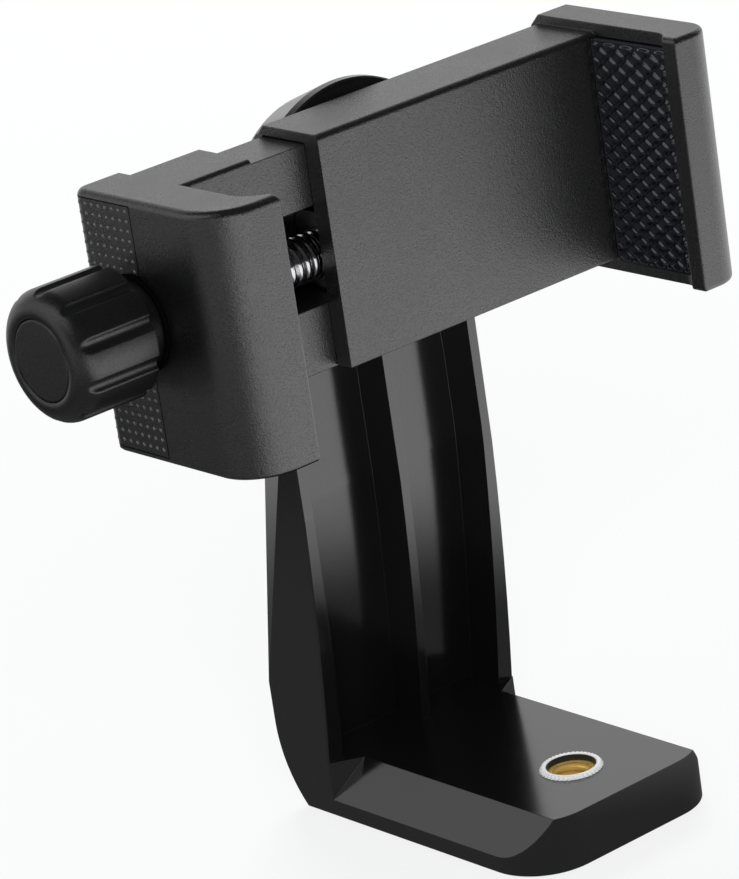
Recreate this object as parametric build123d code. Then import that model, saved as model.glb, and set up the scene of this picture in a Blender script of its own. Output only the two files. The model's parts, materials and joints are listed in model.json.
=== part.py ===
from build123d import *
import os
from math import atan2, cos, radians, sin, sqrt

# Tripod phone mount adapter. The origin is on the tripod thread's axis, on the foot's
# underside. X runs along the clamp towards the fixed jaw, Y to the back and Z up.
# All sizes are in millimetres.

# Foot
foot_half_width = 16.5
foot_front = -10.8
foot_thickness = 7.4
foot_side_height = 2.2
foot_bevel_width = 4.2
foot_corner_radius = 8.0
web_lead = 2.5
web_setback = 1.0

# Upright and round head of the bracket
head_height = 79.9
upright_front = 26.4
front_flare = 3.9
front_flare_middle = 1.35
flare_top = 42.0
heel_depth = 13.0
heel_height = 11.0
heel_inset = 4.4
heel_bulge = 1.1
lean_start = 17.0
lean_top = 56.0
head_depth = 8.6
head_rim = 1.4
relief_slope = 2.4
lower_relief_top = 48.0
lower_side_lean = 0.296
upper_side_lean = 0.075
front_edge_bevel = 0.2

# Pockets in the upright's front
rib_width = 1.4
rib_offset = 0.8
flange_width_top = 1.6
flange_width_foot = 2.6
flange_taper_top = 45.0
pocket_depth = 5.6
pocket_below_head = 13.9
hub_ring_width = 1.5
pocket_corner_radius = 1.0
pocket_wall = 0.6

# Tripod bush
socket_radius = 3.2
bush_radius = 4.0
bush_flange_radius = 5.4
bush_flange_thickness = 1.2
bush_proud = 0.5
bush_clearance = 0.04

# Pivot of the clamp on the head
pivot_gap = 0.4
disc_border = 3.5
disc_recess_depth = 0.6
disc_clearance = 0.15
spigot_radius = 5.0
running_clearance = 0.05
pivot_recess_depth = 4.0
pivot_recess_radius = 8.2
spring_washer_radius = 7.6
spring_washer_height = 0.7
spring_washer_thickness = 0.35
pivot_washer_radius = 7.5
pivot_washer_thickness = 1.0
pivot_screw_radius = 1.9
pivot_screw_length = 6.5
pivot_tip_radius = 1.1
pivot_tip_length = 1.0
pivot_head_radius = 3.8
pivot_head_height = 2.1
pivot_head_bevel = 1.1
cross_recess_width = 0.9
cross_recess_reach = 2.1
cross_recess_depth = 1.0

# Housing bar of the clamp
bar_height = 30.37
bar_depth = 12.16
bar_reach_left = 14.83
front_wall = 2.67
back_wall = 1.3
top_wall = 1.3
end_wall = 1.8
bar_front_radius = 0.8
bar_back_bevel = 1.6
rail_depth = 3.2
rail_height = 2.6
tail_length = 2.4
tail_bevel = 2.6

# Fixed jaw
fixed_jaw_thickness = 5.64
fixed_jaw_reach = 16.65
fixed_jaw_above = 1.2
fixed_jaw_below = 2.2
fixed_lip_reach = 1.56
fixed_lip_thickness = 2.4
fixed_cove_radius = 2.6
fixed_corner_radius = 4.0
fixed_edge_radius = 0.7
fixed_back_bevel = 1.6

# Rubber pads
pad_seat_depth = 1.0
pad_border = 1.7
pad_clearance = 0.1
pad_edge_radius = 0.3
fixed_pad_proud = 1.3
sliding_pad_proud = 1.1
sliding_pad_back_margin = 0.85

# Moving jaw, neck and slide
jaw_from_pivot = 34.35
jaw_thickness = 7.08
jaw_reach = 12.38
jaw_behind = 3.7
jaw_above_slide = 0.55
jaw_below = 4.5
jaw_front_corner_radius = 6.5
jaw_back_corner_radius = 2.0
jaw_lip_reach = 3.25
jaw_lip_thickness = 1.3
jaw_cove_radius = 5.0
jaw_edge_radius = 0.9
lower_edge_bevel = 0.3
lip_nose_radius = 0.4
neck_length = 10.94
neck_behind = 0.7
neck_edge_radius = 0.6
slide_length = 47.41
slide_stop_gap = 0.5
slide_side_clearance = 0.09
slide_edge_clearance = 0.12
slot_above_screw = 7.4
slot_below_screw = 5.35
slot_start = 3.35
slot_bridge = 3.0
slot_floor_clearance = 0.12

# Clamp screw, nut and clip
screw_behind_front = 6.26
screw_below_head = 1.6
screw_radius = 3.175
screw_tip_gap = 0.5
screw_tip_bevel = 0.8
closing_travel = 6.0
nut_from_pivot = 9.0
nut_width = 10.0
nut_thickness = 5.5
nut_corner_bevel = 0.8
nut_clearance = 0.1
groove_radius = 2.3
groove_inside_jaw = 3.98
groove_width = 1.4
clip_width = 10.0
clip_lead = 3.8
clip_length = 12.9
clip_clearance = 0.1
clip_mouth_width = 4.4

# Knob
thrust_washer_radius = 6.3
thrust_washer_thickness = 0.6
knob_radius = 8.5
knob_length = 14.37
knob_end_radius = 2.5
knob_end_steps = 3
knob_end_wall = 3.4
knob_hub_radius = 5.8
knob_hub_length = 2.97
flute_count = 10
flute_radius = 1.0
flute_depth = 0.55
cap_radius = 5.25
cap_recess = 1.0
cap_bevel = 0.2
cap_clearance = 0.05

# Sizes that follow from the ones above
heel_back = upright_front + heel_depth
head_back = upright_front + head_depth
relief_reach = foot_half_width - 2 * rib_width
bar_back = upright_front - pivot_gap
bar_front = bar_back - bar_depth
bar_left = -bar_reach_left
bar_top = head_height + bar_height / 2
bar_bottom = head_height - bar_height / 2
jaw_inner = -jaw_from_pivot
neck_end = jaw_inner + neck_length
slide_end = neck_end + slide_length
cavity_end = slide_end + closing_travel + slide_stop_gap
cavity_front = bar_front + front_wall
cavity_back = bar_back - back_wall
cavity_top = bar_top - top_wall
disc_radius = foot_half_width - disc_border
rail_front = cavity_back - rail_depth
rail_top = bar_bottom + rail_height
fixed_inner = cavity_end + end_wall
fixed_outer = fixed_inner + fixed_jaw_thickness
fixed_front = bar_front - fixed_jaw_reach
fixed_top = bar_top + fixed_jaw_above
fixed_bottom = bar_bottom - fixed_jaw_below
slide_front = cavity_front + slide_side_clearance
slide_back = cavity_back - slide_side_clearance
slide_top = cavity_top - slide_edge_clearance
slide_bottom = bar_bottom - slide_edge_clearance
jaw_outer = jaw_inner - jaw_thickness
jaw_front = bar_front - jaw_reach
jaw_back = bar_back + jaw_behind
jaw_top = slide_top + jaw_above_slide
jaw_bottom = bar_bottom - jaw_below
jaw_cove_end = jaw_front + jaw_lip_thickness + sqrt(
    jaw_cove_radius ** 2 - (jaw_cove_radius - jaw_lip_reach) ** 2
)
neck_back = bar_back + neck_behind
screw_back = bar_front + screw_behind_front
screw_height = head_height - screw_below_head
slot_left = jaw_inner + slot_start
slot_right = slide_end - slot_bridge
slot_bottom = screw_height - slot_below_screw
slot_top = screw_height + slot_above_screw
slot_floor = screw_back + screw_radius + slot_floor_clearance
nut_centre = -nut_from_pivot
slot_through = nut_centre - nut_thickness / 2 - closing_travel - slide_stop_gap
screw_tip = slot_right - screw_tip_gap
groove_left = jaw_outer + groove_inside_jaw
clip_front = screw_back - clip_lead
knob_base = jaw_outer - thrust_washer_thickness
knob_end = knob_base - knob_length
grip_base = knob_base - knob_hub_length
screw_start = knob_end + knob_end_wall
pivot_recess_floor = upright_front + disc_recess_depth + pivot_recess_depth
spigot_end = pivot_recess_floor + spring_washer_height
pivot_head_seat = spigot_end + pivot_washer_thickness
past = 1.0
hair = 0.1


def across(x_low, x_high, outline):
    """Extrude a face drawn in the Y-Z plane from one X to another."""
    face = Pos(x_low, 0, 0) * (Plane.YZ * outline)
    return extrude(face, amount=x_high - x_low, dir=(1, 0, 0))


def backwards(y_low, y_high, outline):
    """Extrude a face drawn in X and Z from one Y to another."""
    face = Pos(0, y_low, 0) * (Plane.XZ * outline)
    return extrude(face, amount=y_high - y_low, dir=(0, 1, 0))


def upwards(z_low, z_high, outline):
    """Extrude a face drawn in X and Y from one Z to another."""
    return extrude(Pos(0, 0, z_low) * outline, amount=z_high - z_low, dir=(0, 0, 1))


def span(u_low, u_high, v_low, v_high):
    """A flat rectangle between two limits each way."""
    centre = Pos((u_low + u_high) / 2, (v_low + v_high) / 2)
    return centre * Rectangle(u_high - u_low, v_high - v_low)


def turned_about_pivot(outline):
    """Turn an outline of depth along Y against radius about the head's axis."""
    face = Pos(0, 0, head_height) * (Plane.YZ * outline)
    return revolve(face, Axis((0, 0, head_height), (0, 1, 0)), 360)


def turned_about_screw(outline):
    """Turn an outline of X against radius about the clamp screw's axis."""
    face = Pos(0, screw_back, screw_height) * outline
    return revolve(face, Axis((0, screw_back, screw_height), (1, 0, 0)), 360)


def front_curve(depth):
    """The upright's front seen from the side, moved back by a depth, from the floor up."""
    low = (upright_front + front_flare + depth, 0)
    middle = (upright_front + front_flare_middle + depth, flare_top / 2)
    high = (upright_front + depth, flare_top)
    return ThreePointArc(low, middle, high)


def upright_side():
    """The upright seen from the side: flared front, rounded heel and leaning back."""
    top = head_height + foot_half_width + past
    front = front_curve(0)
    heel_foot = heel_back - heel_inset
    heel_chord = sqrt(heel_inset ** 2 + heel_height ** 2)
    heel_middle = (
        heel_back - heel_inset / 2 + heel_bulge * heel_height / heel_chord,
        heel_height / 2 - heel_bulge * heel_inset / heel_chord,
    )
    lines = [
        front,
        Line(front @ 1, (upright_front, top)),
        Line((upright_front, top), (head_back, top)),
        Line((head_back, top), (head_back, lean_top)),
        Line((head_back, lean_top), (heel_back, lean_start)),
        Line((heel_back, lean_start), (heel_back, heel_height)),
        ThreePointArc((heel_back, heel_height), heel_middle, (heel_foot, 0)),
        Line((heel_foot, 0), front @ 0),
    ]
    return make_face(Curve() + lines)


def relief_edge(height):
    """How far back the upright's side reaches at a height."""
    edge = upright_front + head_rim
    edge = edge + (head_height - max(height, lower_relief_top)) * upper_side_lean
    return edge + max(0, lower_relief_top - height) * lower_side_lean


def relief_corner(height, wall):
    """The corner that the back relief takes off one side of the upright at a height."""
    edge = relief_edge(height) - wall * sqrt(1 + relief_slope ** 2)
    side = -foot_half_width
    corner = Polyline(
        (side - past, edge - past * relief_slope),
        (side + relief_reach, edge + relief_reach * relief_slope),
        (side - past, edge + relief_reach * relief_slope),
        close=True,
    )
    return Pos(0, 0, height) * make_face(corner)


def leaning_relief(low, high, wall):
    """The flat slanted cut down one side of the back between two heights."""
    lean = (relief_edge(low) - relief_edge(high)) / (high - low)
    length = (high - low) * sqrt(1 + lean ** 2)
    return extrude(relief_corner(low, wall), amount=length, dir=(0, -lean, 1))


def back_relief(wall):
    """The slanted sides of the bracket's back, carried round the head as a cone."""
    lower = leaning_relief(0, lower_relief_top, wall)
    upper = leaning_relief(lower_relief_top, head_height, wall)
    turned = revolve(
        relief_corner(head_height, wall), Axis((0, 0, head_height), (0, 1, 0)), 180
    )
    sides = lower + upper
    return sides + mirror(sides, Plane.YZ) + turned


def upright():
    """The upright and round head before its pockets are sunk."""
    outline = span(-foot_half_width, foot_half_width, 0, head_height)
    outline = outline + Pos(0, head_height) * Circle(foot_half_width)
    blank = across(-foot_half_width, foot_half_width, upright_side())
    blank = blank & backwards(upright_front - past, heel_back + past, outline)
    rim = [
        edge
        for edge in blank.edges()
        if edge.bounding_box().min.Y < upright_front + head_rim / 2
        and edge.bounding_box().size.Z > head_rim
    ]
    return chamfer(rim, front_edge_bevel) - back_relief(0)


def foot():
    """The foot: bevelled long edges, cut off by the rounded front corners."""
    section = Polyline(
        (-foot_half_width, 0),
        (foot_half_width, 0),
        (foot_half_width, foot_side_height),
        (foot_half_width - foot_bevel_width, foot_thickness),
        (-foot_half_width + foot_bevel_width, foot_thickness),
        (-foot_half_width, foot_side_height),
        close=True,
    )
    rear = heel_back - heel_inset
    plan = span(-foot_half_width, foot_half_width, foot_front, rear)
    front_corners = plan.vertices().sort_by(Axis.Y)[:2]
    plan = fillet(front_corners, foot_corner_radius)
    block = backwards(foot_front, rear, make_face(section))
    block = block & upwards(0, foot_thickness, plan)
    one_side = foot_web()
    return block + one_side + mirror(one_side, Plane.YZ)


def foot_web():
    """The slanted web where the foot's bevel runs out against the upright's side."""
    outer = upright_front + front_flare - web_setback
    inner = outer - web_lead
    plan = Polyline(
        (-foot_half_width, outer),
        (-foot_half_width + foot_bevel_width, inner),
        (-foot_half_width + foot_bevel_width, outer + web_lead),
        (-foot_half_width, outer + web_lead),
        close=True,
    )
    return upwards(0, foot_thickness, make_face(plan))


def pocket(side):
    """One front pocket of the upright, whose floor follows the front and the back."""
    low = foot_thickness
    high = head_height - pocket_below_head
    inner = rib_offset + side * rib_width / 2
    outer_foot = side * (foot_half_width - flange_width_foot)
    outer_top = side * (foot_half_width - flange_width_top)
    outline = make_face(
        Polyline(
            (inner, low),
            (outer_foot, low),
            (outer_top, flange_taper_top),
            (outer_top, high),
            (inner, high),
            close=True,
        )
    )
    outline = outline - Pos(0, head_height) * Circle(foot_half_width - hub_ring_width)
    top_corners = outline.vertices().filter_by(
        lambda corner: corner.Y > flange_taper_top + past
    )
    outline = fillet(top_corners, pocket_corner_radius)
    floor = front_curve(pocket_depth)
    ahead = upright_front - 2 * past
    bottom = (floor @ 0).X
    depth_face = make_face(
        Curve()
        + [
            floor,
            Line(floor @ 1, (upright_front + pocket_depth, head_height)),
            Line((upright_front + pocket_depth, head_height), (ahead, head_height)),
            Line((ahead, head_height), (ahead, 0)),
            Line((ahead, 0), (bottom, 0)),
        ]
    )
    hollow = across(-foot_half_width, foot_half_width, depth_face)
    hollow = hollow & backwards(ahead - past, heel_back, outline)
    return hollow - back_relief(pocket_wall)


def pivot_bore():
    """The head's stepped bore: disc recess in front, spigot bore, screw recess behind."""
    disc_floor = upright_front + disc_recess_depth
    bore = spigot_radius + running_clearance
    steps = Polyline(
        (upright_front - past, 0),
        (upright_front - past, disc_radius + disc_clearance),
        (disc_floor, disc_radius + disc_clearance),
        (disc_floor, bore),
        (pivot_recess_floor, bore),
        (pivot_recess_floor, pivot_recess_radius),
        (head_back + past, pivot_recess_radius),
        (head_back + past, 0),
        close=True,
    )
    return turned_about_pivot(make_face(steps))


def bush_outline(grow):
    """Half of the tripod bush's outside, radius against height, grown all round."""
    return [
        (bush_flange_radius + grow, 0),
        (bush_flange_radius + grow, bush_flange_thickness + grow),
        (bush_radius + grow, bush_flange_thickness + grow),
        (bush_radius + grow, foot_thickness + bush_proud),
    ]


def turned_about_socket(points):
    """Turn a closed outline of radius against height about the tripod thread's axis."""
    outline = make_face(Polyline(*points, close=True))
    return revolve(Plane.XZ * outline, Axis.Z, 360)


def bracket():
    """Foot, upright and head of the bracket, with pockets and bores."""
    body = upright() + foot()
    body = body - pocket(-1) - pocket(1)
    body = body - pivot_bore()
    outside = bush_outline(bush_clearance)
    hole = [(0, 0), *outside, (0, foot_thickness + bush_proud)]
    return body - turned_about_socket(hole)


def tripod_insert():
    """The flanged metal bush that takes the tripod's screw."""
    outside = bush_outline(0)
    top = foot_thickness + bush_proud
    return turned_about_socket([(socket_radius, 0), *outside, (socket_radius, top)])


def friction_disc():
    """The thin disc that the clamp turns against."""
    inner = spigot_radius + disc_clearance
    outline = span(bar_back, upright_front + disc_recess_depth, inner, disc_radius)
    return turned_about_pivot(outline)


def pivot_spring_washer():
    """A dished spring washer round the spigot, its wide end towards the head."""
    inner = spigot_radius + disc_clearance
    near = pivot_recess_floor + running_clearance
    section = Polyline(
        (near, spring_washer_radius),
        (near + spring_washer_thickness, spring_washer_radius),
        (spigot_end, inner),
        (spigot_end - spring_washer_thickness, inner),
        close=True,
    )
    return turned_about_pivot(make_face(section))


def pivot_washer():
    """The flat washer on the end of the spigot."""
    inner = pivot_screw_radius + disc_clearance
    return turned_about_pivot(span(spigot_end, pivot_head_seat, inner, pivot_washer_radius))


def pivot_screw():
    """A pan head screw with a cross recess."""
    tip = pivot_head_seat - pivot_screw_length
    crown = pivot_head_seat + pivot_head_height
    outline = Polyline(
        (tip, 0),
        (tip, pivot_tip_radius),
        (tip + pivot_tip_length, pivot_screw_radius),
        (pivot_head_seat, pivot_screw_radius),
        (pivot_head_seat, pivot_head_radius),
        (crown - pivot_head_bevel, pivot_head_radius),
        (crown, pivot_head_radius - pivot_head_bevel),
        (crown, 0),
        close=True,
    )
    screw = turned_about_pivot(make_face(outline))
    arm = cross_recess_reach
    half = cross_recess_width / 2
    cross = span(-arm, arm, -half, half) + span(-half, half, -arm, arm)
    recess = backwards(
        crown - cross_recess_depth, crown + past, Pos(0, head_height) * cross
    )
    return screw - recess


def bar_section():
    """The housing seen along X: front wall, roof, back wall and the rail under the slide."""
    outer = span(bar_front, bar_back, bar_bottom, bar_top)
    top_corners = outer.vertices().group_by(Axis.Y)[-1].sort_by(Axis.X)
    outer = fillet(top_corners[0], bar_front_radius)
    top_corners = outer.vertices().filter_by(
        lambda corner: corner.X > bar_back - past and corner.Y > bar_top - past
    )
    return chamfer(top_corners, bar_back_bevel)


def cavity_section():
    """The space for the slide, open below in front of the rail."""
    space = Polyline(
        (cavity_front, bar_bottom - past),
        (cavity_front, cavity_top),
        (cavity_back, cavity_top),
        (cavity_back, rail_top),
        (rail_front, rail_top),
        (rail_front, bar_bottom - past),
        close=True,
    )
    return make_face(space)


def fixed_jaw_plan():
    """The fixed jaw seen from above: rounded outer corner, lip and cove."""
    tip = fixed_inner - fixed_lip_reach
    lip_back = fixed_front + fixed_lip_thickness
    rise = sqrt(fixed_cove_radius ** 2 - (fixed_cove_radius - fixed_lip_reach) ** 2)
    middle_turn = atan2(rise, fixed_cove_radius - fixed_lip_reach) / 2
    centre_x = fixed_inner - fixed_cove_radius
    centre_y = lip_back + rise
    cove = ThreePointArc(
        (tip, lip_back),
        (
            centre_x + fixed_cove_radius * cos(middle_turn),
            centre_y - fixed_cove_radius * sin(middle_turn),
        ),
        (fixed_inner, centre_y),
    )
    lines = [
        cove,
        Line((fixed_inner, centre_y), (fixed_inner, bar_back)),
        Line((fixed_inner, bar_back), (fixed_outer, bar_back)),
        Line((fixed_outer, bar_back), (fixed_outer, fixed_front)),
        Line((fixed_outer, fixed_front), (tip, fixed_front)),
        Line((tip, fixed_front), (tip, lip_back)),
    ]
    plan = make_face(Curve() + lines)
    front = plan.vertices().filter_by(lambda corner: corner.Y < fixed_front + hair)
    plan = fillet(front.sort_by(Axis.X)[-1], fixed_corner_radius)
    front = plan.vertices().filter_by(lambda corner: corner.Y < fixed_front + hair)
    return fillet(front.sort_by(Axis.X)[0], lip_nose_radius)


def fixed_jaw():
    """The fixed jaw with eased top and bottom edges and the pad's seat."""
    block = upwards(fixed_bottom, fixed_top, fixed_jaw_plan())
    back_edges = block.edges().filter_by(Axis.X).filter_by_position(
        Axis.Y, bar_back - hair, bar_back + hair
    )
    block = chamfer(back_edges, fixed_back_bevel)
    rims = [
        edge
        for height in (fixed_top, fixed_bottom)
        for edge in block.edges().filter_by_position(
            Axis.Z, height - hair, height + hair
        )
        if edge.center().X > fixed_inner + past or edge.center().Y < fixed_front + hair
    ]
    rims = [edge for edge in rims if edge.center().Y < bar_back - 2 * fixed_back_bevel]
    block = fillet(rims, fixed_edge_radius)
    return block - pad_seat(fixed_inner, 1)


def pad_window(jaw_side):
    """Limits of a jaw's pad seat: front, back, bottom and top."""
    if jaw_side > 0:
        return (
            fixed_front + fixed_lip_thickness + pad_clearance,
            bar_front,
            fixed_bottom + pad_border,
            fixed_top - pad_border,
        )
    return (
        jaw_cove_end + pad_clearance,
        slide_front - sliding_pad_back_margin,
        jaw_bottom + pad_border,
        jaw_top - pad_border,
    )


def pad_seat(inner, jaw_side):
    """The shallow recess for a jaw's pad, open towards the phone."""
    front, back, bottom, top = pad_window(jaw_side)
    outline = span(front, back, bottom, top)
    clear = pad_seat_depth + fixed_lip_reach
    ends = sorted((inner - jaw_side * clear, inner + jaw_side * pad_seat_depth))
    return across(ends[0], ends[1], outline)


def jaw_pad(inner, jaw_side, proud):
    """A rubber pad lying in its seat, proud of the jaw, with eased front edges."""
    front, back, bottom, top = pad_window(jaw_side)
    outline = span(
        front + pad_clearance,
        back - pad_clearance,
        bottom + pad_clearance,
        top - pad_clearance,
    )
    ends = sorted((inner - jaw_side * proud, inner + jaw_side * pad_seat_depth))
    pad = across(ends[0], ends[1], outline)
    face = pad.faces().filter_by(Axis.X).sort_by(Axis.X)
    face = face[0] if jaw_side > 0 else face[-1]
    return fillet(face.edges(), pad_edge_radius)


def clamp_body():
    """Housing bar, fixed jaw and pivot spigot, moulded in one."""
    section = bar_section()
    bar = across(bar_left, fixed_inner + past, section)
    bar = bar - across(bar_left - past, cavity_end, cavity_section())
    tail = Polyline(
        (bar_left + past, rail_top),
        (bar_left - tail_length, rail_top),
        (bar_left - tail_length, cavity_top - tail_bevel),
        (bar_left, cavity_top),
        (bar_left + past, cavity_top),
        close=True,
    )
    bar = bar + backwards(cavity_back, bar_back, make_face(tail))
    bar = bar + fixed_jaw()
    half_slot = nut_thickness / 2 + nut_clearance
    half_nut = nut_width / 2 + nut_clearance
    nut_slot = span(
        nut_centre - half_slot,
        nut_centre + half_slot,
        screw_height - half_nut,
        screw_height + half_nut,
    )
    bar = bar - backwards(screw_back - half_nut, bar_back + past, nut_slot)
    spigot = turned_about_pivot(span(bar_back - back_wall / 2, spigot_end, 0, spigot_radius))
    pilot_radius = pivot_screw_radius + running_clearance
    pilot_end = pivot_head_seat - pivot_screw_length - nut_clearance
    pilot = turned_about_pivot(span(pilot_end, spigot_end + past, 0, pilot_radius))
    return bar + spigot - pilot


def fixed_jaw_pad():
    """The fixed jaw's rubber pad."""
    return jaw_pad(fixed_inner, 1, fixed_pad_proud)


def sliding_jaw_pad():
    """The moving jaw's rubber pad."""
    return jaw_pad(jaw_inner, -1, sliding_pad_proud)


def clamp_nut():
    """The square nut, with its corners taken off."""
    square = Pos(screw_back, screw_height) * Rectangle(nut_width, nut_width)
    square = chamfer(square.vertices(), nut_corner_bevel)
    bore = Pos(screw_back, screw_height) * Circle(screw_radius + running_clearance)
    half = nut_thickness / 2
    return across(nut_centre - half, nut_centre + half, square - bore)


def jaw_plan():
    """The moving jaw seen from above: big front corner, lip and cove."""
    tip = jaw_inner + jaw_lip_reach
    lip_back = jaw_front + jaw_lip_thickness
    rise = sqrt(jaw_cove_radius ** 2 - (jaw_cove_radius - jaw_lip_reach) ** 2)
    middle_turn = atan2(rise, jaw_cove_radius - jaw_lip_reach) / 2
    centre_x = jaw_inner + jaw_cove_radius
    centre_y = lip_back + rise
    cove = ThreePointArc(
        (tip, lip_back),
        (
            centre_x - jaw_cove_radius * cos(middle_turn),
            centre_y - jaw_cove_radius * sin(middle_turn),
        ),
        (jaw_inner, centre_y),
    )
    lines = [
        cove,
        Line((jaw_inner, centre_y), (jaw_inner, jaw_back)),
        Line((jaw_inner, jaw_back), (jaw_outer, jaw_back)),
        Line((jaw_outer, jaw_back), (jaw_outer, jaw_front)),
        Line((jaw_outer, jaw_front), (tip, jaw_front)),
        Line((tip, jaw_front), (tip, lip_back)),
    ]
    plan = make_face(Curve() + lines)
    front = plan.vertices().filter_by(lambda corner: corner.Y < jaw_front + hair)
    plan = fillet(front.sort_by(Axis.X)[0], jaw_front_corner_radius)
    front = plan.vertices().filter_by(lambda corner: corner.Y < jaw_front + hair)
    plan = fillet(front.sort_by(Axis.X)[-1], lip_nose_radius)
    back = plan.vertices().filter_by(lambda corner: corner.Y > jaw_back - hair)
    return fillet(back.sort_by(Axis.X)[0], jaw_back_corner_radius)


def neck_and_slide():
    """The neck behind the jaw and the slide that runs inside the housing."""
    neck = span(slide_front, neck_back, slide_bottom, jaw_top)
    front_top = neck.vertices().group_by(Axis.Y)[-1].sort_by(Axis.X)[0]
    neck = fillet(front_top, neck_edge_radius)
    slide = Polyline(
        (slide_front, slide_bottom),
        (slide_front, slide_top),
        (slide_back, slide_top),
        (slide_back, rail_top + slide_edge_clearance),
        (rail_front - slide_edge_clearance, rail_top + slide_edge_clearance),
        (rail_front - slide_edge_clearance, slide_bottom),
        close=True,
    )
    body = across(jaw_inner - past, neck_end, neck)
    body = body + across(neck_end - past / 2, slide_end, make_face(slide))
    groove = span(slot_left, slot_through, slot_bottom, slot_top)
    body = body - backwards(slide_front - past, slot_floor, groove)
    slot = span(slot_through - past, slot_right, slot_bottom, slot_top)
    return body - backwards(slide_front - past, slide_back + past, slot)


def sliding_jaw():
    """The moving jaw with its neck and slide, moulded in one."""
    plate = upwards(jaw_bottom, jaw_top, jaw_plan())
    rims = [
        edge
        for edge in plate.edges().filter_by_position(Axis.Z, jaw_top - hair, jaw_top + hair)
        if edge.center().X < jaw_inner - past and edge.center().Y < jaw_back - hair
        or edge.center().Y < jaw_front + hair
    ]
    plate = fillet(rims, jaw_edge_radius)
    rims = [
        edge
        for edge in plate.edges().filter_by_position(Axis.Z, jaw_bottom - hair, jaw_bottom + hair)
        if edge.center().X < jaw_inner - past and edge.center().Y < jaw_back - hair
        or edge.center().Y < jaw_front + hair
    ]
    plate = chamfer(rims, lower_edge_bevel)
    body = plate + neck_and_slide() - pad_seat(jaw_inner, -1)
    bore = Pos(screw_back, screw_height) * Circle(screw_radius + 2 * running_clearance)
    body = body - across(jaw_outer - past, slot_left + past, bore)
    half_clip = clip_width / 2 + clip_clearance
    clip_slot = span(
        clip_front - clip_clearance,
        jaw_back + past,
        screw_height - half_clip,
        screw_height + half_clip,
    )
    return body - across(groove_left, groove_left + groove_width, clip_slot)


def retaining_clip():
    """A forked plate whose legs stand in the screw's groove."""
    half = clip_width / 2
    plate = span(clip_front, clip_front + clip_length, screw_height - half, screw_height + half)
    throat = groove_radius + clip_clearance
    gap = Pos(screw_back, screw_height) * Circle(throat)
    half_mouth = clip_mouth_width / 2
    mouth = span(
        clip_front - past, screw_back, screw_height - half_mouth, screw_height + half_mouth
    )
    left = groove_left + clip_clearance
    right = groove_left + groove_width - clip_clearance
    return across(left, right, plate - gap - mouth)


def clamp_screw():
    """The screw, with its groove for the clip and a bevelled tip."""
    groove_right = groove_left + groove_width
    outline = Polyline(
        (screw_start, 0),
        (screw_start, screw_radius),
        (groove_left, screw_radius),
        (groove_left, groove_radius),
        (groove_right, groove_radius),
        (groove_right, screw_radius),
        (screw_tip - screw_tip_bevel, screw_radius),
        (screw_tip, screw_radius - screw_tip_bevel),
        (screw_tip, 0),
        close=True,
    )
    return turned_about_screw(make_face(outline))


def thrust_washer():
    """The washer between the knob and the moving jaw."""
    inner = screw_radius + disc_clearance
    return turned_about_screw(span(knob_base, jaw_outer, inner, thrust_washer_radius))


def flute(turn):
    """One flute down the knob's grip, at a turn round the screw."""
    reach = knob_radius + flute_radius - flute_depth
    across_y = screw_back + reach * cos(radians(turn))
    up_z = screw_height + reach * sin(radians(turn))
    groove = Pos(across_y, up_z) * Circle(flute_radius)
    return across(knob_end, grip_base + past, groove)


def knob():
    """The fluted grip with its stepped round end and the cap's recess, on a narrower hub."""
    centre = (knob_end + knob_end_radius, knob_radius - knob_end_radius)
    turns = [radians(90 * step / knob_end_steps) for step in range(knob_end_steps + 1)]
    recess_radius = cap_radius + cap_clearance
    recess_floor = knob_end + cap_recess
    bore = screw_radius + running_clearance
    outline = Polyline(
        (knob_base, bore),
        (knob_base, knob_hub_radius),
        (grip_base, knob_hub_radius),
        (grip_base, knob_radius),
        *[
            (centre[0] - knob_end_radius * sin(turn), centre[1] + knob_end_radius * cos(turn))
            for turn in turns
        ],
        (knob_end, 0),
        (screw_start - running_clearance, 0),
        (screw_start - running_clearance, bore),
        close=True,
    )
    body = turned_about_screw(make_face(outline))
    body = body - turned_about_screw(span(knob_end - past, recess_floor, 0, recess_radius))
    for number in range(flute_count):
        body = body - flute(360 * (number + 0.5) / flute_count)
    return body


def knob_cap():
    """The low bevelled cap in the knob's end."""
    outline = Polyline(
        (knob_end + cap_recess, 0),
        (knob_end + cap_recess, cap_radius),
        (knob_end + cap_bevel, cap_radius),
        (knob_end, cap_radius - cap_bevel),
        (knob_end, 0),
        close=True,
    )
    return turned_about_screw(make_face(outline))


pieces = {
    "bracket": bracket,
    "tripod_insert": tripod_insert,
    "friction_disc": friction_disc,
    "pivot_screw": pivot_screw,
    "pivot_washer": pivot_washer,
    "pivot_spring_washer": pivot_spring_washer,
    "clamp_body": clamp_body,
    "fixed_jaw_pad": fixed_jaw_pad,
    "clamp_nut": clamp_nut,
    "sliding_jaw": sliding_jaw,
    "sliding_jaw_pad": sliding_jaw_pad,
    "retaining_clip": retaining_clip,
    "clamp_screw": clamp_screw,
    "thrust_washer": thrust_washer,
    "knob": knob,
    "knob_cap": knob_cap,
}

os.makedirs("parts", exist_ok=True)
for name, make in pieces.items():
    export_step(make(), f"parts/{name}.step")
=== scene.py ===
"""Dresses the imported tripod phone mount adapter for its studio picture.

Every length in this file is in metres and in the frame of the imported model: the origin is
on the tripod thread's axis at the foot's underside, X runs along the clamp towards the
fixed jaw, Y to the back and Z up.
"""

import json
import logging
import math
from dataclasses import dataclass
from enum import Enum

import bmesh
import bpy
import numpy as np
from mathutils import Matrix, Vector

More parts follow.
